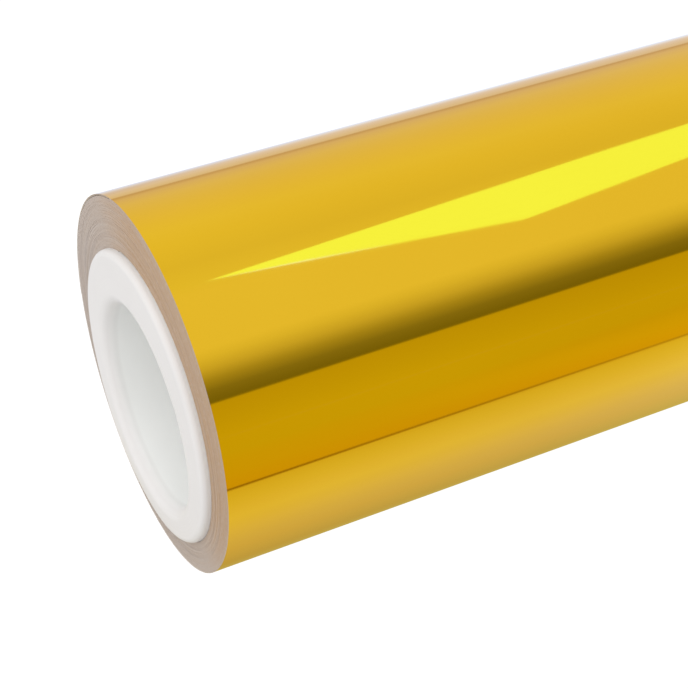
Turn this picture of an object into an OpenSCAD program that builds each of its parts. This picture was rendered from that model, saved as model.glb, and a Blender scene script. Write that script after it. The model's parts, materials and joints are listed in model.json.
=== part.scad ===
// Roll of sign vinyl: gold film on its release liner, wound on a thick plastic core.
// Frame: X along the roll, Z up, origin on the bore's axis halfway along it.
// Angles round the roll are measured about X, from +Y towards +Z.

/* [Core] */
// Bore of the core, for a 3 inch spindle
core_bore_d = 76.2; // [70:0.1:80]
// Outside diameter of the core
core_od = 110; // [104:0.5:112]
// How far each end of the core stands proud of the wound film
core_proud = 3; // [1:0.1:8]
// Rounding of the bore's two mouths
mouth_round = 5; // [0.5:0.1:6]
// Rounding of the core's two outer rims
rim_round = 2.5; // [0.3:0.1:3]
// How far the bore lies below the middle of the core's wall
bore_drop = 4.8; // [0:0.1:6]

/* [Web] */
// Width of the film and liner
web_w = 610; // [300:10:1370]
// Thickness of the gold film with its adhesive
film_t = 0.10; // [0.06:0.01:0.2]
// Thickness of the release liner
liner_t = 0.15; // [0.1:0.01:0.25]
// Air between one turn and the next where they are modelled apart
turn_gap = 0.05; // [0.03:0.01:0.1]

/* [Pack] */
// Outside diameter of the wound pack
pack_od = 141; // [138:0.5:170]
// How far the core has settled below the middle of the pack
core_drop = 5; // [0:0.1:8]

/* [Tail] */
// Angle round the roll at which the loose tail begins
tail_start = 70; // [40:1:90]
// Angle of pack that each bending length of the tail covers
tail_step = 15; // [8:1:20]
// Width of the slit that lets neighbouring lengths of the tail bend, as an angle
bend_slit = 0.1; // [0.05:0.01:0.3]

/* [Tape] */
// Thickness of the tabs that hold the tail down
tab_t = 0.08; // [0.04:0.01:0.15]
// Width of each tab along the roll
tab_w = 25; // [12:1:50]
// Distance between the middles of neighbouring tabs
tab_pitch = 240; // [60:5:280]
// Angle of pack that each tab covers on either side of the film's free edge
tab_reach = 9; // [4:0.5:14]
// Thickness of the tape that holds the first turn to the core
start_tape_t = 0.15; // [0.05:0.01:0.2]
// Width of that tape round the core
start_tape_w = 18; // [10:1:50]
// How far that tape stops short of each edge of the web
start_tape_inset = 5; // [1:1:50]
// Angle round the core at which that tape lies
start_tape_angle = 200; // [0:5:355]

/* [Hidden] */

$fn = 180;
fillet_steps = 6;
tail_lengths = 4;

core_r = core_od / 2;
bore_r = core_bore_d / 2;
core_len = web_w + 2 * core_proud;
pack_r = pack_od / 2;
turn_t = film_t + liner_t + turn_gap;

plastic_white = [0.91, 0.90, 0.88];
vinyl_gold = [0.88, 0.69, 0.13];
liner_white = [0.93, 0.92, 0.88];
pack_beige = [0.71, 0.65, 0.56];
tab_white = [0.96, 0.96, 0.94];
tape_amber = [0.80, 0.72, 0.50];

// Turns a shape made about its own Z so that it lies along X, with angle 0 at +Y
module along_x() rotate([90, 0, 90]) children();

// Points of a rounded corner, from one angle to another about its centre
function corner(centre, r, from, to) = [
  for (i = [0:fillet_steps])
    let (a = from + (to - from) * i / fillet_steps)
      centre + r * [cos(a), sin(a)]
];

// Places a shape about the middle of the core's wall
module in_core() {
  translate([0, 0, bore_drop]) along_x() children();
}

// The web winds inwards along half turns whose centres alternate by a quarter of a
// turn's thickness either side of the pack's middle, so that each runs into the next.
// Half turn 0 starts where the tail begins; half turn -1 is the tail, outside it.
function half_turn_r(h) = pack_r - turn_t * (1 + 2 * h) / 4;
function half_turn_shift(h) = (h % 2 == 0 ? 1 : -1) * turn_t / 4;

// Places a shape in the pack, with angle 0 where the tail begins
module in_pack() {
  translate([0, 0, bore_drop + core_drop]) along_x() rotate([0, 0, tail_start]) children();
}

// Part of half turn h: a layer of the web, from one angle to another within it
module layer(h, depth, thick, from = 0, to = 180, len = web_w) {
  in_pack() translate([half_turn_shift(h), 0, -len / 2]) rotate([0, 0, 180 * h + from])
    rotate_extrude(angle = to - from)
      translate([half_turn_r(h) - depth - thick, 0]) square([thick, len]);
}

// One whole turn of a layer, just inside the tail
module outer_turn(depth, thick) {
  layer(0, depth, thick);
  layer(1, depth, thick);
}

// The stretch of the tail from one step to another: step 1 is next to the outer turn
module tail_stretch(first, last, depth, thick) {
  layer(-1, depth, thick,
    from = 180 - last * tail_step + bend_slit / 2,
    to = 180 - (first - 1) * tail_step - bend_slit / 2);
}

// Rod whose two ends have rounded rims
module rounded_rod(r, half_len) {
  inner = r - rim_round;
  rotate_extrude() polygon(concat(
    [[0, -half_len]],
    corner([inner, rim_round - half_len], rim_round, -90, 0),
    corner([inner, half_len - rim_round], rim_round, 0, 90),
    [[0, half_len]]
  ));
}

// Shape of a hole that flares into a rounded mouth at each end and runs out past it
module flared_hole(r, half_len) {
  flare = r + mouth_round;
  past = half_len + 1;
  rotate_extrude() polygon(concat(
    [[0, -past], [flare, -past]],
    corner([flare, mouth_round - half_len], mouth_round, 270, 180),
    corner([flare, half_len - mouth_round], mouth_round, 180, 90),
    [[flare, past], [0, past]]
  ));
}

module core_tube() {
  color(plastic_white) difference() {
    in_core() rounded_rod(core_r, core_len / 2);
    along_x() flared_hole(bore_r, core_len / 2);
  }
}

// Tape under the first turn, which starts the web on the core
module start_tape_shape() {
  len = web_w - 2 * start_tape_inset;
  half_angle = start_tape_w / core_r * 90 / PI;
  in_core() translate([0, 0, -len / 2]) rotate([0, 0, start_tape_angle - half_angle])
    rotate_extrude(angle = 2 * half_angle) translate([core_r, 0]) square([start_tape_t, len]);
}

module start_tape() {
  color(tape_amber) start_tape_shape();
}

// All the turns inside the outer one, wound solid
module wound_pack() {
  color(pack_beige) difference() {
    union() {
      layer(2, 0, half_turn_r(2));
      layer(3, 0, half_turn_r(3));
    }
    in_core() cylinder(r = core_r, h = web_w + 2, center = true);
    start_tape_shape();
  }
}

module liner_outer_turn() {
  color(liner_white) outer_turn(film_t, liner_t);
}

module film_outer_turn() {
  color(vinyl_gold) outer_turn(0, film_t);
}

// The last length of liner backs both the last length of film and the film's tip
module liner_tail(k) {
  color(liner_white) tail_stretch(k, k == tail_lengths ? k + 1 : k, film_t, liner_t);
}

module film_tail(k) {
  color(vinyl_gold) tail_stretch(k, k, 0, film_t);
}

// End of the film, which peels off the liner first
module film_tip() {
  color(vinyl_gold) tail_stretch(tail_lengths + 1, tail_lengths + 1, 0, film_t);
}

// Tab of tape over the film's free edge; place counts tabs from the middle one
module tail_tab(place) {
  edge = 180 - (tail_lengths + 1) * tail_step;
  color(tab_white) translate([place * tab_pitch, 0, 0])
    layer(-1, -tab_t, tab_t, from = edge - tab_reach, to = edge + tab_reach, len = tab_w);
}

core_tube();
start_tape();
wound_pack();
liner_outer_turn();
film_outer_turn();
liner_tail(1);  // liner_tail_1
liner_tail(2);  // liner_tail_2
liner_tail(3);  // liner_tail_3
liner_tail(4);  // liner_tail_4
film_tail(1);  // film_tail_1
film_tail(2);  // film_tail_2
film_tail(3);  // film_tail_3
film_tail(4);  // film_tail_4
film_tip();
tail_tab(-1);  // tail_tab_near
tail_tab(0);  // tail_tab_middle
tail_tab(1);  // tail_tab_far
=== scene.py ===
"""Roll of mirror gold sign vinyl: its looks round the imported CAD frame, and the studio it lies in.

Metres, in the CAD frame: X along the roll, Z up, origin in the middle of the bore. Angles round the
roll are in degrees about X, from +Y towards +Z. The core's middle lies above the bore's, and the pack's
above that.
"""
import json
import math

import bpy
import numpy as np
from mathutils import Matrix, Vector


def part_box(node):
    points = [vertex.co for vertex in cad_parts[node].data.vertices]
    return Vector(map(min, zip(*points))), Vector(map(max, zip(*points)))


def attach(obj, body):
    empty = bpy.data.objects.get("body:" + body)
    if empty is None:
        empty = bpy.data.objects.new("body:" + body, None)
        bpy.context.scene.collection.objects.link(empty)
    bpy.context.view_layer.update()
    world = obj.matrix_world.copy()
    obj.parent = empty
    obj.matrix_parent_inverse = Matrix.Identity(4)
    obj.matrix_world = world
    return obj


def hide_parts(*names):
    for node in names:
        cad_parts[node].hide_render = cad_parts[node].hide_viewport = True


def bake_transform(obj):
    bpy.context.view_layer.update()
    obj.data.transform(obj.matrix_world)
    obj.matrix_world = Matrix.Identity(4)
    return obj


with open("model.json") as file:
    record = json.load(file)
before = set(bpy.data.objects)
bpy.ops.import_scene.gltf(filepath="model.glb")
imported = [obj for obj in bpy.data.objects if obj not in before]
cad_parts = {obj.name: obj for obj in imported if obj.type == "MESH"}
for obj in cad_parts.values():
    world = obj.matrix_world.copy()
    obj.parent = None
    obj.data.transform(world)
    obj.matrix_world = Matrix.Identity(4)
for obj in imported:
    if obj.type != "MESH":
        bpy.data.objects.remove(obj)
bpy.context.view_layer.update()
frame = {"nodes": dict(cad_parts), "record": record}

# ---------------------------------------------------------------- sizes
MM = 0.001
CORE_LOW, CORE_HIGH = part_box("core_tube")
FILM_LOW, FILM_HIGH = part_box("film_outer_turn")
BORE_R = next(m["dims"]["r_mm"] for m in frame["record"]["mounts"] if m["name"] == "core_bore") * MM
CORE_R = (CORE_HIGH.y - CORE_LOW.y) / 2
CORE_HALF = (CORE_HIGH.x - CORE_LOW.x) / 2
WEB_HALF = (FILM_HIGH.x - FILM_LOW.x) / 2

PACK_R = 70.5 * MM
CORE_MIDDLE = (CORE_HIGH.z + CORE_LOW.z) / 2
CORE_DROP = 5.0 * MM
PACK_MIDDLE = CORE_MIDDLE + CORE_DROP
FILM_T = 0.10 * MM
LINER_T = 0.15 * MM
TURN_T = 0.30 * MM
MOUTH_ROUND = 5.0 * MM
RIM_ROUND = 2.5 * MM
TAIL_START = 70.0
TAIL_STEP = 15.0
TAIL_LENGTHS = 4
FREE_EDGE = TAIL_START - (TAIL_LENGTHS + 1) * TAIL_STEP

FLOOR_Z = PACK_MIDDLE - PACK_R


# ---------------------------------------------------------------- node helpers
class Nodes:
    """A small wrapper that adds nodes to a tree and joins them."""

    def __init__(self, tree):
        self.tree = tree
        tree.nodes.clear()

    def add(self, kind, **settings):
        node = self.tree.nodes.new(kind)
        for name, value in settings.items():
            setattr(node, name, value)
        return node

    def join(self, source, target):
        self.tree.links.new(source, target)

    def feed(self, socket, value):
        """Gives a socket a number, a colour, or another node's output."""
        if isinstance(value, bpy.types.NodeSocket):
            self.join(value, socket)
        else:
            socket.default_value = value

    def math(self, operation, first, second=0.0, third=0.0):
        node = self.add("ShaderNodeMath", operation=operation)
        for socket, value in zip(node.inputs, (first, second, third)):
            self.feed(socket, value)
        return node.outputs[0]

    def noise(self, vector, scale, detail=3.0, rough=0.5):
        node = self.add("ShaderNodeTexNoise")
        self.join(vector, node.inputs["Vector"])
        node.inputs["Scale"].default_value = scale
        node.inputs["Detail"].default_value = detail
        node.inputs["Roughness"].default_value = rough
        return node.outputs["Fac"]

    def scaled(self, vector, scale):
        """The vector with each axis multiplied, which stretches the texture that reads it."""
        node = self.add("ShaderNodeVectorMath", operation="MULTIPLY")
        self.join(vector, node.inputs[0])
        node.inputs[1].default_value = scale
        return node.outputs[0]

    def split(self, vector):
        """The X, Y and Z of a vector."""
        node = self.add("ShaderNodeSeparateXYZ")
        self.join(vector, node.inputs[0])
        return node.outputs

    def ramp(self, value, stops):
        """A colour ramp through (position, grey or colour) stops."""
        node = self.add("ShaderNodeValToRGB")
        elements = node.color_ramp.elements
        while len(elements) < len(stops):
            elements.new(0.5)
        for element, (position, colour) in zip(elements, stops):
            element.position = position
            element.color = (colour,) * 3 + (1,) if isinstance(colour, float) else (*colour, 1)
        self.feed(node.inputs[0], value)
        return node.outputs["Color"]

    def mix(self, share, first, second, blend="MIX"):
        node = self.add("ShaderNodeMix", data_type="RGBA", blend_type=blend)
        self.feed(node.inputs["Factor"], share)
        for socket, value in ((node.inputs[6], first), (node.inputs[7], second)):
            self.feed(socket, (*value, 1) if isinstance(value, tuple) else value)
        return node.outputs[2]

    def blend(self, share, first, second):
        """Two shaders mixed."""
        node = self.add("ShaderNodeMixShader")
        for socket, value in zip(node.inputs, (share, first, second)):
            self.feed(socket, value)
        return node.outputs[0]

    def bump(self, height, strength, distance):
        node = self.add("ShaderNodeBump")
        node.inputs["Strength"].default_value = strength
        node.inputs["Distance"].default_value = distance
        self.join(height, node.inputs["Height"])
        return node.outputs["Normal"]


def empty_material(name):
    """A material with no nodes yet, and its wrapper."""
    material = bpy.data.materials.new(name)
    material.use_nodes = True
    return material, Nodes(material.node_tree)


def new_material(name, display_colour):
    """A material with an empty Principled shader; returns it, its nodes and the shader."""
    material, nodes = empty_material(name)
    material.diffuse_color = (*display_colour, 1)
    shader = nodes.add("ShaderNodeBsdfPrincipled")
    output = nodes.add("ShaderNodeOutputMaterial")
    nodes.join(shader.outputs[0], output.inputs["Surface"])
    return material, nodes, shader


def object_point(nodes):
    return nodes.add("ShaderNodeTexCoord").outputs["Object"]


def joined(nodes, first, second, third=0.0):
    """A vector from three numbers or outputs."""
    vector = nodes.add("ShaderNodeCombineXYZ")
    for socket, value in zip(vector.inputs, (first, second, third)):
        nodes.feed(socket, value)
    return vector.outputs[0]


def round_the_roll(nodes, middle):
    """Angle, radius and distance along the roll of the shaded point, about an axis at height middle."""
    x, y, z = nodes.split(object_point(nodes))
    up = nodes.math("SUBTRACT", z, middle)
    squares = nodes.math("MULTIPLY", y, y), nodes.math("MULTIPLY", up, up)
    radius = nodes.math("SQRT", nodes.math("ADD", *squares))
    return nodes.math("ARCTAN2", up, y), radius, x


# ---------------------------------------------------------------- materials
GOLD = (0.775, 0.474, 0.022)


def gold_film():
    """Mirror metallised film: a little orange peel, hairline scuffs and a very slight haze."""
    material, nodes, shader = new_material("gold_film", GOLD)
    point = object_point(nodes)
    shader.inputs["Metallic"].default_value = 1.0
    cloud = nodes.noise(point, 9.0, detail=2.0)
    tint = nodes.ramp(cloud, ((0.3, (0.765, 0.462, 0.020)), (0.7, (0.785, 0.484, 0.024))))
    nodes.join(tint, shader.inputs["Base Color"])
    scuffs = nodes.noise(nodes.scaled(point, (6, 900, 900)), 1.0, detail=2.0)
    haze = nodes.ramp(scuffs, ((0.45, 0.050), (0.8, 0.085)))
    nodes.join(haze, shader.inputs["Roughness"])
    peel = nodes.noise(nodes.scaled(point, (14, 30, 30)), 1.0, detail=1.0)
    nodes.join(nodes.bump(peel, 0.05, 0.0006), shader.inputs["Normal"])
    return material


def film_back():
    """The adhesive side of the film, seen where it peels off its liner: glossy grey-white glue."""
    material, nodes, shader = new_material("film_adhesive", (0.66, 0.66, 0.64))
    point = object_point(nodes)
    smear = nodes.noise(nodes.scaled(point, (40, 140, 140)), 1.0, detail=4.0)
    shade = nodes.ramp(smear, ((0.3, (0.60, 0.59, 0.56)), (0.7, (0.72, 0.71, 0.69))))
    nodes.join(shade, shader.inputs["Base Color"])
    nodes.join(nodes.ramp(smear, ((0.3, 0.16), (0.7, 0.34))), shader.inputs["Roughness"])
    nodes.join(nodes.bump(smear, 0.1, 0.0002), shader.inputs["Normal"])
    return material


def liner_paper():
    """Coated release paper: nearly white, smooth, with a faint fibre and gloss."""
    material, nodes, shader = new_material("liner_paper", (0.86, 0.84, 0.80))
    point = object_point(nodes)
    fibre = nodes.noise(nodes.scaled(point, (260, 900, 900)), 1.0, detail=5.0, rough=0.65)
    shade = nodes.ramp(fibre, ((0.3, (0.82, 0.80, 0.755)), (0.7, (0.88, 0.865, 0.83))))
    nodes.join(shade, shader.inputs["Base Color"])
    nodes.join(nodes.ramp(fibre, ((0.3, 0.28), (0.7, 0.42))), shader.inputs["Roughness"])
    nodes.join(nodes.bump(fibre, 0.12, 0.0001), shader.inputs["Normal"])
    return material


# The core and the turns' edges shine less than a new shader does.
LOW_SPECULAR = 0.3
# Colour of the small specks on the core.
SPECK = (0.74, 0.71, 0.68)


def core_plastic():
    """White moulded tube: satin, with faint turned rings on its cut ends. Its bore is painted cooler and
    lighter, painted light that stands in for the light reaching deep into it.
    """
    material, nodes, shader = new_material("core_plastic", (0.86, 0.84, 0.82))
    shader.inputs["Specular IOR Level"].default_value = LOW_SPECULAR
    angle, radius, along = round_the_roll(nodes, CORE_MIDDLE)
    turned = joined(nodes, angle, radius, along)
    rings = nodes.noise(nodes.scaled(turned, (0.25, 2600, 400)), 1.0, detail=3.0)
    clouds = nodes.noise(object_point(nodes), 34.0, detail=3.0)
    specks = nodes.noise(nodes.scaled(turned, (7, 420, 420)), 1.0, detail=4.0, rough=0.7)
    outside = nodes.ramp(clouds, ((0.3, (0.672, 0.654, 0.644)), (0.7, (0.690, 0.672, 0.660))))
    # Painted light: the bore's colour is lighter than the ends', standing in for light reaching deep into
    # it.
    inside = nodes.ramp(clouds, ((0.3, (0.866, 0.870, 0.853)), (0.7, (0.886, 0.890, 0.873))))
    depth = nodes.math("SUBTRACT", CORE_HALF, nodes.math("ABSOLUTE", along))
    # How much of the painted lightening shows: none at the mouth, all of it a little way into the bore.
    within = nodes.ramp(nodes.math("DIVIDE", depth, BORE_R), ((0.05, 0.0), (0.16, 1.0)))
    base = nodes.mix(within, outside, inside)
    marked = nodes.mix(nodes.ramp(specks, ((0.72, 0.0), (0.82, 0.25))), base, SPECK)
    nodes.join(marked, shader.inputs["Base Color"])
    nodes.join(nodes.ramp(rings, ((0.3, 0.40), (0.7, 0.54))), shader.inputs["Roughness"])
    nodes.join(nodes.bump(rings, 0.08, 0.0003), shader.inputs["Normal"])
    return material


# Minus the angle, in radians, of the side where the turns' edges look warmest: the front, above level.
WARM_SIDE = -2.44
# Colours mixed into the turns' edges: on that side, where slitting marked them, and in the outer turns.
WARM_TINT = (0.438, 0.288, 0.17)
SLIT_MARK = (0.66, 0.60, 0.54)
OUTER_TINT = (0.47, 0.40, 0.36)


def wound_edge(name, dark, light):
    """Cut edges of the web in the pack: darker and lighter turns, slit marks, tints and cut dust."""
    material, nodes, shader = new_material(name, light)
    shader.inputs["Specular IOR Level"].default_value = LOW_SPECULAR
    turn = nodes.add("ShaderNodeAttribute", attribute_name="turn").outputs["Fac"]
    angle = round_the_roll(nodes, PACK_MIDDLE)[0]
    bands = nodes.noise(joined(nodes, nodes.math("MULTIPLY", turn, 1.3), angle), 1.0, detail=5.0, rough=0.7)
    across_turns = joined(nodes, nodes.math("MULTIPLY", angle, 30.0), nodes.math("MULTIPLY", turn, 0.25))
    marks = nodes.noise(across_turns, 1.0)
    along_turns = joined(nodes, nodes.math("MULTIPLY", angle, 2.0), nodes.math("MULTIPLY", turn, 0.4))
    tint = nodes.noise(along_turns, 1.0)
    grain = nodes.noise(object_point(nodes), 1100.0, detail=4.0, rough=0.7)
    shade = nodes.ramp(bands, ((0.24, dark), (0.76, light)))
    front = nodes.math("MULTIPLY_ADD", nodes.math("COSINE", nodes.math("ADD", angle, WARM_SIDE)), 0.5, 0.5)
    side = nodes.ramp(front, ((0.25, 0.22), (0.55, 0.38), (0.80, 1.0)))
    patchy = nodes.math("MULTIPLY", nodes.ramp(tint, ((0.30, 0.70), (0.65, 1.0))), side)
    warmed = nodes.mix(patchy, shade, WARM_TINT)
    slit = nodes.mix(nodes.ramp(marks, ((0.55, 0.0), (0.75, 0.20))), warmed, SLIT_MARK)
    outer = nodes.ramp(nodes.math("DIVIDE", turn, INNER_TURNS), ((0.90, 0.0), (0.965, 0.30)))
    paler = nodes.mix(outer, slit, OUTER_TINT)
    dusty = nodes.mix(nodes.ramp(grain, ((0.35, 0.18), (0.70, 0.0))), paler, dark)
    nodes.join(dusty, shader.inputs["Base Color"])
    nodes.join(nodes.ramp(grain, ((0.3, 0.55), (0.7, 0.8))), shader.inputs["Roughness"])
    nodes.join(nodes.bump(bands, 0.08, 0.0002), shader.inputs["Normal"])
    return material


def sheet_edge(name, dark, light):
    """The slit edge of one layer of the outer turn and the tail."""
    material, nodes, shader = new_material(name, light)
    grain = nodes.noise(object_point(nodes), 700.0, detail=3.0)
    nodes.join(nodes.ramp(grain, ((0.3, dark), (0.7, light))), shader.inputs["Base Color"])
    nodes.join(nodes.ramp(grain, ((0.3, 0.45), (0.7, 0.65))), shader.inputs["Roughness"])
    return material


def clear_tape():
    """Matt translucent tape: milky, with fine creases."""
    material, nodes, shader = new_material("tab_tape", (0.90, 0.89, 0.86))
    point = object_point(nodes)
    crease = nodes.noise(nodes.scaled(point, (300, 90, 90)), 1.0, detail=4.0)
    shade = nodes.ramp(crease, ((0.3, (0.84, 0.82, 0.77)), (0.7, (0.94, 0.93, 0.90))))
    nodes.join(shade, shader.inputs["Base Color"])
    nodes.join(nodes.ramp(crease, ((0.3, 0.45), (0.7, 0.65))), shader.inputs["Roughness"])
    nodes.join(nodes.ramp(crease, ((0.3, 0.55), (0.7, 0.75))), shader.inputs["Alpha"])
    nodes.join(nodes.bump(crease, 0.3, 0.0002), shader.inputs["Normal"])
    return material


def start_tape_material():
    """Double-sided tape between the core and the first turn: amber, slightly mottled."""
    material, nodes, shader = new_material("start_tape", (0.60, 0.47, 0.22))
    mottle = nodes.noise(object_point(nodes), 260.0, detail=4.0)
    shade = nodes.ramp(mottle, ((0.3, (0.52, 0.40, 0.17)), (0.7, (0.66, 0.54, 0.28))))
    nodes.join(shade, shader.inputs["Base Color"])
    nodes.join(nodes.ramp(mottle, ((0.3, 0.4), (0.7, 0.6))), shader.inputs["Roughness"])
    return material


# ---------------------------------------------------------------- mesh helpers
def make_mesh(name, points, faces, materials, face_slots=None, normals=None):
    """A smooth-shaded object from points and faces; normals, one per point, override the averaged ones."""
    mesh = bpy.data.meshes.new(name)
    mesh.from_pydata([tuple(p) for p in points], [], faces)
    for material in materials:
        mesh.materials.append(material)
    mesh.polygons.foreach_set("use_smooth", [True] * len(mesh.polygons))
    if face_slots is not None:
        mesh.polygons.foreach_set("material_index", face_slots)
    mesh.update()
    if normals is not None:
        mesh.normals_split_custom_set_from_vertices([tuple(n) for n in normals])
    obj = bpy.data.objects.new(name, mesh)
    bpy.context.scene.collection.objects.link(obj)
    return obj


def grid_faces(rows, columns, first=0, flip=False):
    """Quads over a grid of points stored row by row."""
    faces = []
    for r in range(rows - 1):
        for c in range(columns - 1):
            a = first + r * columns + c
            quad = (a, a + 1, a + columns + 1, a + columns)
            faces.append(quad[::-1] if flip else quad)
    return faces


# ---------------------------------------------------------------- the web's own curve
def web_centre(angle):
    """Radius and centre shift of the half turn at this angle; the web winds inwards as angle grows."""
    half_turn = math.floor((angle - TAIL_START) / 180)
    radius = PACK_R - TURN_T * (1 + 2 * half_turn) / 4
    shift = TURN_T / 4 * (1 if half_turn % 2 == 0 else -1)
    return radius, shift


def web_point(angle, depth, x=0.0):
    """Point of the web at an angle, so far below its outer surface."""
    radius, shift = web_centre(angle)
    start, turned = math.radians(TAIL_START), math.radians(angle)
    y = shift * math.cos(start) + (radius - depth) * math.cos(turned)
    z = shift * math.sin(start) + (radius - depth) * math.sin(turned)
    return (x, y, z + PACK_MIDDLE)


ANGLE_STEP = 0.5
WEB_COLUMNS = 9
OUTER, INNER, EDGE = 0, 1, 2


class Skin:
    """Points, normals, faces and material slots of a mesh, gathered grid by grid."""

    def __init__(self):
        self.points, self.normals, self.faces, self.slots = [], [], [], []

    def add_grid(self, grid, slot, flip):
        """Adds the faces between rows of (point, normal) pairs."""
        first = len(self.points)
        for row in grid:
            for point, normal in row:
                self.points.append(point)
                self.normals.append(normal)
        made = grid_faces(len(grid), len(grid[0]), first, flip)
        self.faces.extend(made)
        self.slots.extend([slot] * len(made))


def outward(angle):
    """Unit vector straight out of the roll at an angle round it."""
    turned = math.radians(angle)
    return Vector((0, math.cos(turned), math.sin(turned)))


def sheet_piece(name, start, end, depth, thick, materials, open_end=False):
    """A stretch of film or liner between two angles, start below end, as a sheet with real thickness.

    Its materials are those of its outer face, its inner face and its edges. Each face has its own points,
    so that each keeps its own true normals. open_end closes the cut at the sheet's start, where the web
    really ends.
    """
    rows = int(round((end - start) / ANGLE_STEP)) + 1
    angles = np.linspace(start, end, rows)
    across = np.linspace(-WEB_HALF, WEB_HALF, WEB_COLUMNS)
    depths = (depth, depth + thick)
    skin = Skin()
    for d, facing, slot, flip in ((depths[0], 1, OUTER, True), (depths[1], -1, INNER, False)):
        grid = [[(web_point(a, d, x), outward(a) * facing) for x in across] for a in angles]
        skin.add_grid(grid, slot, flip)
    for x, flip in ((-WEB_HALF, False), (WEB_HALF, True)):
        sideways = Vector((math.copysign(1, x), 0, 0))
        grid = [[(web_point(a, d, x), sideways) for d in depths] for a in angles]
        skin.add_grid(grid, EDGE, flip)
    if open_end:
        back = outward(start - 90)
        grid = [[(web_point(start, d, x), back) for x in across] for d in depths]
        skin.add_grid(grid, EDGE, False)
    return make_mesh(name, skin.points, skin.faces, materials, skin.slots, skin.normals)


def hinge_angle(k):
    return TAIL_START - (k - 1) * TAIL_STEP


# How far before and after its hinge the piece round the film's peeling tip reaches, as angles.
PEEL_BEFORE, PEEL_AFTER = 3.5, 10.5
BODIES = ["root"] + [f"tail_{k}" for k in range(1, TAIL_LENGTHS + 1)] + ["tip"]


def bend_limits(k):
    """Angles between which the piece round hinge k lies.

    The tail's pieces run between the middles of its lengths. The film's tip's piece lies mostly past its
    hinge, so that the tip can lift off the liner without dipping into it.
    """
    if k > TAIL_LENGTHS:
        return hinge_angle(k) + PEEL_BEFORE, hinge_angle(k) - PEEL_AFTER
    return hinge_angle(k) + TAIL_STEP / 2, hinge_angle(k) - TAIL_STEP / 2


def bend_piece(piece):
    """Bakes the piece's placement into its points."""
    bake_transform(piece)


# The first piece round a hinge reaches this far round the roll; points further on would follow the tail.
FIRST_PIECE_END = 240.0


def web_layer(name, depth, thick, materials, hinges):
    """The outer turn and the tail of one layer: a piece round each hinge, and rigid ends."""
    made = []
    high = FIRST_PIECE_END
    for k in range(1, hinges + 1):
        low = bend_limits(k)[1]
        piece = sheet_piece(f"{name}_{k}", low, high, depth, thick, materials)
        bend_piece(piece)
        made.append(piece)
        high = low
    tip = sheet_piece(f"{name}_end", FREE_EDGE, high, depth, thick, materials, True)
    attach(tip, BODIES[hinges])
    under = sheet_piece(f"{name}_under_tail", FIRST_PIECE_END, TAIL_START + 360, depth, thick, materials)
    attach(under, "root")
    made += [tip, under]
    return made


def build_web():
    """The outer turn and the tail: gold film outside, and its liner under it."""
    paper = liner_paper()
    gold, back = gold_film(), film_back()
    film_edge = sheet_edge("film_slit_edge", (0.28, 0.20, 0.13), (0.40, 0.31, 0.22))
    liner_edge = sheet_edge("liner_slit_edge", (0.36, 0.28, 0.21), (0.46, 0.37, 0.30))
    film = web_layer("film", 0, FILM_T, (gold, back, film_edge), TAIL_LENGTHS + 1)
    liner = web_layer("liner", FILM_T, LINER_T, (paper, paper, liner_edge), TAIL_LENGTHS)
    lengths = range(1, TAIL_LENGTHS + 1)
    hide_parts("film_outer_turn", *[f"film_tail_{k}" for k in lengths], "film_tip")
    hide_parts("liner_outer_turn", *[f"liner_tail_{k}" for k in lengths])


# ---------------------------------------------------------------- the wound pack
INNER_TURNS = 41
PACK_TOP_R = PACK_R - TURN_T
RIBBON_STEP = 2.0
FILM_SHARE = FILM_T / (FILM_T + LINER_T)
# Where the liner ends within its turn, so that it stays clear of the next turn's film.
LINER_END = 0.98
# How far the turns' edges stay inside the edges of the outer turn, at least.
EDGE_INSET = 0.05 * MM


def coil_point(turn, depth, x):
    """Point of the wound web: turn counts outwards from the core, and depth is a share of the turn.

    The turns are tight below the core and slack above it, because their middle rises from the core's to
    the pack's.
    """
    share = turn / INNER_TURNS
    angle = math.radians(TAIL_START + 360 * (INNER_TURNS - turn))
    pitch = (PACK_TOP_R - CORE_R + (PACK_MIDDLE - CORE_MIDDLE) * math.sin(angle)) / INNER_TURNS
    radius = CORE_R + share * (PACK_TOP_R - CORE_R) - depth * pitch
    middle = CORE_MIDDLE + share * (PACK_MIDDLE - CORE_MIDDLE)
    return (x, radius * math.cos(angle), middle + radius * math.sin(angle))


def ribbon(name, top, bottom, material, inset):
    """One layer of the web wound from the core out, whose edges wander a little from turn to turn."""
    steps = int((INNER_TURNS - 1) * 360 / RIBBON_STEP)
    points, faces, turns = [], [], []
    for i in range(steps + 1):
        turn = 1 + (INNER_TURNS - 1) * i / steps
        half = WEB_HALF - EDGE_INSET - inset(turn)
        for x, depth in ((-half, top), (half, top), (half, bottom), (-half, bottom)):
            points.append(coil_point(turn, depth, x))
            turns.append(turn)
    for i in range(steps):
        for c in range(4):
            a, b = 4 * i + c, 4 * i + (c + 1) % 4
            faces.append((a, b, b + 4, a + 4))
    faces += [(3, 2, 1, 0), tuple(4 * steps + c for c in range(4))]
    obj = make_mesh(name, points, faces, (material,))
    obj.data.polygons.foreach_set("use_smooth", [False] * len(obj.data.polygons))
    obj.data.attributes.new("turn", "FLOAT", "POINT").data.foreach_set("value", turns)
    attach(obj, "root")
    return obj


def build_pack():
    """The turns inside the outer one, as two ribbons wound together."""
    film = wound_edge("film_edge", (0.347, 0.286, 0.240), (0.452, 0.400, 0.359))
    paper = wound_edge("liner_edge", (0.421, 0.370, 0.344), (0.526, 0.490, 0.472))

    def film_wander(turn):
        """How far in the film's edge lies in this turn."""
        return (0.07 + 0.03 * math.sin(2.3 * turn) + 0.03 * math.sin(0.61 * turn + 1)) * MM

    def paper_wander(turn):
        """How far in the liner's edge lies in this turn."""
        return (0.05 + 0.02 * math.sin(3.1 * turn + 2) + 0.03 * math.sin(0.47 * turn)) * MM

    wound_film = ribbon("wound_film", 0, FILM_SHARE, film, film_wander)
    ribbon("wound_liner", FILM_SHARE, LINER_END, paper, paper_wander)
    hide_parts("wound_pack")


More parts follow.
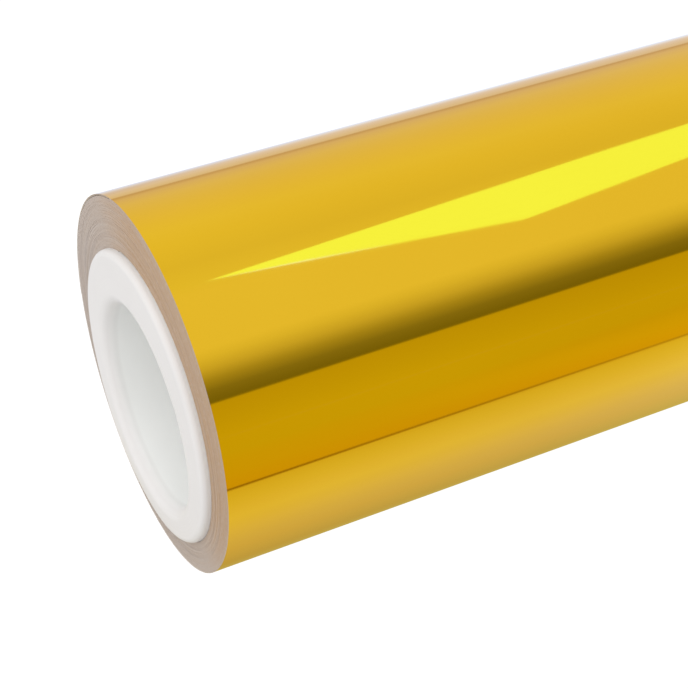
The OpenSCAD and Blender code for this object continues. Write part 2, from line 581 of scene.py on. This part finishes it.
# ---------------------------------------------------------------- the core
CORE_SEGMENTS = 288
RIM_STEPS, MOUTH_STEPS, FACE_STEPS = 8, 20, 7
WALL_POINTS = 27


def arc(centre, radius, start, end, steps):
    """Points (distance along the roll, radius) of a round corner."""
    angles = np.radians(np.linspace(start, end, steps + 1))
    return [(centre[0] + radius * math.cos(a), centre[1] + radius * math.sin(a)) for a in angles]


def core_outline():
    """Closed outline of the tube's wall: distance along the roll, radius, height of the circle's middle."""
    rim, mouth = CORE_HALF - RIM_ROUND, CORE_HALF - MOUTH_ROUND
    outer, inner = CORE_R - RIM_ROUND, BORE_R + MOUTH_ROUND
    far_rim = arc((rim, outer), RIM_ROUND, 0, 90, RIM_STEPS)
    far_mouth = arc((mouth, inner), MOUTH_ROUND, 0, -90, MOUTH_STEPS)
    steps = np.linspace(0, 1, FACE_STEPS + 1)[1:-1]
    flat = [(CORE_HALF, outer + t * (inner - outer), t) for t in steps]
    half = [(x, r, CORE_MIDDLE) for x, r in far_rim[::-1]]
    half += [(x, r, CORE_MIDDLE * (1 - t)) for x, r, t in flat]
    half += [(x, r, 0.0) for x, r in far_mouth]
    wall = [(x, BORE_R, 0.0) for x in np.linspace(mouth, -mouth, WALL_POINTS)[1:-1]]
    back = [(-x, r, middle) for x, r, middle in half[::-1]]
    skin = [(x, CORE_R, CORE_MIDDLE) for x in np.linspace(-rim, rim, WALL_POINTS)[1:-1]]
    return half + wall + back + skin


def build_core():
    """The tube, whose bore lies a little below the middle of its wall."""
    outline = core_outline()
    ring, points, faces = len(outline), [], []
    for s in range(CORE_SEGMENTS):
        a = 2 * math.pi * s / CORE_SEGMENTS
        points += [(x, r * math.cos(a), middle + r * math.sin(a)) for x, r, middle in outline]
    for s in range(CORE_SEGMENTS):
        here, there = s * ring, (s + 1) % CORE_SEGMENTS * ring
        for i in range(ring):
            j = (i + 1) % ring
            faces.append((here + i, here + j, there + j, there + i))
    core = make_mesh("core", points, faces, (core_plastic(),))
    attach(core, "root")
    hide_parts("core_tube")


# ---------------------------------------------------------------- tape
TAB_W = 25 * MM
TAB_REACH = 9.0
TAB_T = 0.08 * MM
TAB_PITCH = 240 * MM
TAB_ROWS, TAB_COLUMNS = 37, 25
# Air under the tape, and the angle over which it steps down past the free edge.
TAB_GAP = 0.005 * MM
STEP_DOWN = 1.2
# Height of the tape's creases, and how close together they are.
CREASE, CREASE_RATE = 0.02 * MM, 900
# The tape's ends lift by this much, from this share of the way to each end.
END_LIFT, LIFT_FROM = 0.25 * MM, 0.85
# How far short of TAB_REACH the torn ends stop, and how deep the tear is, as angles.
TORN_SHORT, TORN_DEPTH = 0.4, 0.3


def tab_height(angle, along):
    """How far the tape stands off the web: a step at the web's free edge, lifted ends and fine creases."""
    from_edge = angle - FREE_EDGE
    step = 0 if from_edge >= 0 else -min(1, -from_edge / STEP_DOWN) * (FILM_T + LINER_T)
    lift = END_LIFT * max(0, abs(from_edge) / TAB_REACH - LIFT_FROM)
    return step + lift + CREASE * math.sin(along * CREASE_RATE) ** 2


def torn_edge(across, middle):
    """How far the torn end of a tab sticks out at a point across it, between -0.8 and 0.8."""
    return 0.5 * math.sin(37 * across + 90 * middle) + 0.3 * math.sin(71 * across)


def grid_rim(rows, columns):
    """Numbers of a grid's outer points, in order round it."""
    rim = list(range(columns))
    rim += [i * columns + columns - 1 for i in range(1, rows)]
    rim += [(rows - 1) * columns + j for j in range(columns - 2, -1, -1)]
    rim += [i * columns for i in range(rows - 2, 0, -1)]
    return rim


def tab_piece(name, middle, material):
    """A torn strip of tape across the web's free edge, with its thickness."""
    rows, columns = TAB_ROWS, TAB_COLUMNS
    points, faces = [], []
    for side in (1, 0):
        for i in range(rows):
            for j in range(columns):
                across = 2 * j / (columns - 1) - 1
                along = 2 * i / (rows - 1) - 1
                reach = TAB_REACH - TORN_SHORT + TORN_DEPTH * torn_edge(across, middle)
                angle = FREE_EDGE + along * reach
                x = middle + across * TAB_W / 2
                height = tab_height(angle, x) + side * TAB_T + TAB_GAP
                points.append(web_point(angle, -height, x))
    faces += grid_faces(rows, columns, 0, False)
    faces += grid_faces(rows, columns, rows * columns, True)
    rim = grid_rim(rows, columns)
    for a, b in zip(rim, rim[1:] + rim[:1]):
        faces.append((a, a + rows * columns, b + rows * columns, b))
    tab = make_mesh(name, points, faces, (material,))
    bend_piece(tab)
    return tab


def build_tape():
    """The three tabs on the free edge, and the look of the start tape."""
    tape = clear_tape()
    for place, name in ((-1, "near"), (0, "middle"), (1, "far")):
        tab = tab_piece(f"tab_{name}", place * TAB_PITCH, tape)
        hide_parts(f"tail_tab_{name}")
    node = frame["nodes"]["start_tape"]
    node.data.materials.clear()
    node.data.materials.append(start_tape_material())


# ---------------------------------------------------------------- studio
def flat_face(name, corners, material):
    """An object that is one flat face."""
    mesh = bpy.data.meshes.new(name)
    mesh.from_pydata(corners, [], [tuple(range(len(corners)))])
    mesh.materials.append(material)
    obj = bpy.data.objects.new(name, mesh)
    bpy.context.scene.collection.objects.link(obj)
    return obj


def emitter(name, corners, colour):
    """A glowing card that only shows in reflections."""
    material, nodes = empty_material(name)
    light = nodes.add("ShaderNodeEmission")
    light.inputs["Color"].default_value = (*colour, 1)
    nodes.join(light.outputs[0], nodes.add("ShaderNodeOutputMaterial").inputs["Surface"])
    card = flat_face(name, corners, material)
    card.visible_camera = False
    card.visible_diffuse = False
    card.visible_shadow = False
    card.visible_transmission = False


# What the gold reflects of the floor, by distance in front of the roll's middle, behind it where negative.
# Darkest just under the roll: the roll's own shadow, painted into the reflection.
FLOOR_SHADES = (
    (-0.60, (0.79, 0.73, 0.82)), (-0.27, (0.82, 0.91, 1.20)), (-0.20, (0.835, 0.905, 1.11)),
    (-0.10, (0.79, 0.80, 0.87)), (-0.05, (0.60, 0.48, 0.12)), (0.00, (0.40, 0.30, 0.05)),
    (0.05, (0.61, 0.49, 0.12)), (0.06, (0.70, 0.61, 0.22)), (0.07, (0.78, 0.70, 0.37)),
    (0.08, (0.83, 0.78, 0.60)), (0.095, (0.91, 0.88, 0.87)), (0.117, (0.96, 0.95, 0.89)),
    (0.132, (0.94, 0.91, 0.83)), (0.148, (0.91, 0.88, 0.66)), (0.165, (0.88, 0.84, 0.55)),
    (0.185, (0.85, 0.78, 0.40)), (0.198, (0.78, 0.58, 0.02)), (0.27, (0.77, 0.62, 0.02)),
    (0.60, (0.74, 0.66, 0.03)),
)
FLOOR_REACH = 0.60
# A thin dark seam in the table top in front of the roll, plainest at the near end.
SEAM, SEAM_HALF = 0.192, 0.0058
# How far the table top's lines slant away from the roll's own, as a slope.
TABLE_SKEW = 0.03
# The seam's own colour, and the grey of the table top past the roll's near end.
SEAM_COLOUR = (0.33, 0.21, 0.01)
BARE_TABLE = (0.88, 0.88, 0.88)


def floor_reflection(nodes):
    """Colour of the floor as the gold reflects it: shades by distance in front of the roll, and a seam.

    Close to the roll it is brighter towards the far end, and past the near end the table top is bare.
    """
    x, y = nodes.split(object_point(nodes))[:2]
    skewed = nodes.math("MULTIPLY_ADD", x, TABLE_SKEW, WEB_HALF * TABLE_SKEW)
    front = nodes.math("SUBTRACT", skewed, y)
    share = nodes.math("MULTIPLY_ADD", front, 0.5 / FLOOR_REACH, 0.5)
    colour = nodes.ramp(share, [(0.5 + d / FLOOR_REACH / 2, c) for d, c in FLOOR_SHADES])
    off_seam = nodes.math("DIVIDE", nodes.math("ABSOLUTE", nodes.math("SUBTRACT", front, SEAM)), SEAM_HALF)
    nearness = nodes.math("MULTIPLY", x, -1 / WEB_HALF)
    brighter = nodes.ramp(nearness, ((0.1, (1.09, 1.12, 1.12)), (0.5, (1.0, 1.0, 1.0))))
    near = nodes.ramp(nearness, ((0.18, 0.50), (0.80, 1.0)))
    seam = nodes.math("MULTIPLY", nodes.ramp(off_seam, ((0.3, 1.0), (1.0, 0.0))), near)
    close = nodes.ramp(front, ((0.22, 1.0), (0.42, 0.0)))
    shaded = nodes.mix(close, colour, brighter, "MULTIPLY")
    lined = nodes.mix(seam, shaded, SEAM_COLOUR)
    beyond = nodes.ramp(nodes.math("MULTIPLY", nearness, 0.5), ((0.50, 0.0), (0.56, 1.0)))
    return nodes.mix(beyond, lined, BARE_TABLE)


FLOOR_HALF = 30.0
FLOOR_PAINT = (0.86, 0.86, 0.86)
# The floor is lit mostly by its own glow, which is brighter to the camera than on matt surfaces.
GLOW_SHARE = 0.93
GLOW_TO_CAMERA, GLOW_TO_MATT = 1.10, 0.82


def build_floor():
    """A plain pale floor, so wide that its edge is the horizon."""
    material, nodes = empty_material("floor")
    paint = nodes.add("ShaderNodeBsdfDiffuse")
    paint.inputs["Color"].default_value = (*FLOOR_PAINT, 1)
    glow = nodes.add("ShaderNodeEmission")
    mirrored = nodes.add("ShaderNodeEmission")
    nodes.join(floor_reflection(nodes), mirrored.inputs["Color"])
    rays = nodes.add("ShaderNodeLightPath").outputs
    extra = GLOW_TO_CAMERA - GLOW_TO_MATT
    strength = nodes.math("MULTIPLY_ADD", rays["Is Camera Ray"], extra, GLOW_TO_MATT)
    nodes.join(strength, glow.inputs["Strength"])
    seen = nodes.blend(GLOW_SHARE, paint.outputs[0], glow.outputs[0])
    both = nodes.blend(rays["Is Glossy Ray"], seen, mirrored.outputs[0])
    nodes.join(both, nodes.add("ShaderNodeOutputMaterial").inputs["Surface"])
    signs = ((-1, -1), (1, -1), (1, 1), (-1, 1))
    corners = [(a * FLOOR_HALF, b * FLOOR_HALF, FLOOR_Z) for a, b in signs]
    flat_face("floor", corners, material)


# What the gold reflects of the room, by height angle: 0 is level behind the roll, 90 overhead, and 180 level
# in front, where a board stands as high as BOARD_TOP.
BOARD_TOP, BOARD_EDGE = 159.05, 0.2
ROOM_SHADES = (
    (0, (0.74, 0.64, 0.64)), (1.6, (0.66, 0.52, 0.42)), (3.2, (0.75, 0.63, 0.58)), (6, (0.84, 0.75, 0.74)),
    (15, (0.92, 0.87, 0.82)), (36, (0.98, 0.95, 0.93)), (50, (1.00, 1.00, 0.90)), (62, (0.98, 0.97, 0.80)),
    (78, (0.93, 0.92, 0.78)), (90, (0.97, 0.98, 0.85)), (97, (1.00, 1.00, 1.00)), (129, (1.00, 1.00, 1.00)),
    (134, (0.91, 0.91, 0.82)), (140, (0.74, 0.72, 0.60)), (146, (0.48, 0.46, 0.28)),
    (152, (0.29, 0.28, 0.15)), (BOARD_TOP - BOARD_EDGE, (0.22, 0.21, 0.05)),
    (BOARD_TOP + BOARD_EDGE, (0.66, 0.57, 0.03)), (171, (0.70, 0.62, 0.03)), (180, (0.74, 0.66, 0.03)),
)
# Where the light on matt surfaces comes from most: past the roll's near end, a little in front, and above.
BRIGHT_SIDE = Vector((-0.88, -0.20, 0.72)).normalized()
SOFT_LIGHT, BRIGHTER_BY = 0.86, 0.9


def build_world():
    """White to the camera, soft with a bright side to matt surfaces, and a studio's shades to the gold."""
    world = bpy.data.worlds.new("studio")
    bpy.context.scene.world = world
    world.use_nodes = True
    nodes = Nodes(world.node_tree)
    direction = nodes.add("ShaderNodeTexCoord").outputs["Generated"]
    y, z = nodes.split(direction)[1:]
    height_angle = nodes.math("ARCTAN2", z, y)
    share = nodes.math("DIVIDE", height_angle, math.pi)
    room = nodes.ramp(share, [(a / 180, c) for a, c in ROOM_SHADES])
    toward = nodes.add("ShaderNodeVectorMath", operation="DOT_PRODUCT")
    nodes.join(direction, toward.inputs[0])
    toward.inputs[1].default_value = BRIGHT_SIDE
    side = nodes.ramp(toward.outputs["Value"], ((0.3, 0.0), (0.95, 1.0)))
    soft = nodes.math("MULTIPLY_ADD", side, BRIGHTER_BY, SOFT_LIGHT)
    rays = nodes.add("ShaderNodeLightPath").outputs
    matt = nodes.mix(rays["Is Camera Ray"], soft, (1.0, 1.0, 1.0))
    back = nodes.add("ShaderNodeBackground")
    nodes.join(nodes.mix(rays["Is Glossy Ray"], matt, room), back.inputs["Color"])
    nodes.join(back.outputs[0], nodes.add("ShaderNodeOutputWorld").inputs["Surface"])


SOFTBOX_HEIGHT = 1.055
SOFTBOX_COLOUR = (1.20, 1.85, 2.0)
# The softbox's corners: distance from the near end of the web, and Y.
SOFTBOX = (
    (0.318, -0.057), (0.685, -0.429), (1.277, 0.078), (1.277, 0.254),
    (0.866, 0.128), (0.766, 0.103), (0.576, 0.035),
)
# A paler strip along the near part of the softbox's front edge, just below it.
STRIP = ((0.316, -0.055), (0.520, -0.262), (0.415, -0.145))
STRIP_COLOUR = (1.25, 1.95, 14.0)
STRIP_DROP = 0.001


def build_softbox():
    """The long softbox overhead whose reflection is the highlight along the roll."""
    height = PACK_MIDDLE + SOFTBOX_HEIGHT
    emitter("softbox", [(x - WEB_HALF, y, height) for x, y in SOFTBOX], SOFTBOX_COLOUR)
    emitter("softbox_rim", [(x - WEB_HALF, y, height - STRIP_DROP) for x, y in STRIP], STRIP_COLOUR)


CAMERA_LENS = 90.95
CAMERA_AZIMUTH, CAMERA_ELEVATION = math.radians(26.93), math.radians(38.90)
CAMERA_DISTANCE = 0.6202
CAMERA_TARGET = Vector((-WEB_HALF + 0.0664, -0.0237, PACK_MIDDLE + 0.0118))


def build_camera():
    """The photograph's view: down on the roll's near end, from the front left."""
    camera = bpy.data.cameras.new("camera")
    camera.lens = CAMERA_LENS
    camera.clip_end = 100
    obj = bpy.data.objects.new("camera", camera)
    bpy.context.scene.collection.objects.link(obj)
    level = math.cos(CAMERA_ELEVATION)
    forward = Vector((
        math.sin(CAMERA_AZIMUTH) * level, math.cos(CAMERA_AZIMUTH) * level, -math.sin(CAMERA_ELEVATION),
    ))
    obj.location = CAMERA_TARGET - forward * CAMERA_DISTANCE
    right = forward.cross(Vector((0, 0, 1))).normalized()
    up = right.cross(forward)
    obj.rotation_euler = Matrix((right, up, -forward)).transposed().to_euler()
    bpy.context.scene.camera = obj


def main():
    bpy.context.scene.view_settings.view_transform = "Standard"
    build_camera()
    build_floor()
    build_world()
    build_softbox()
    build_core()
    build_pack()
    build_web()
    build_tape()


main()
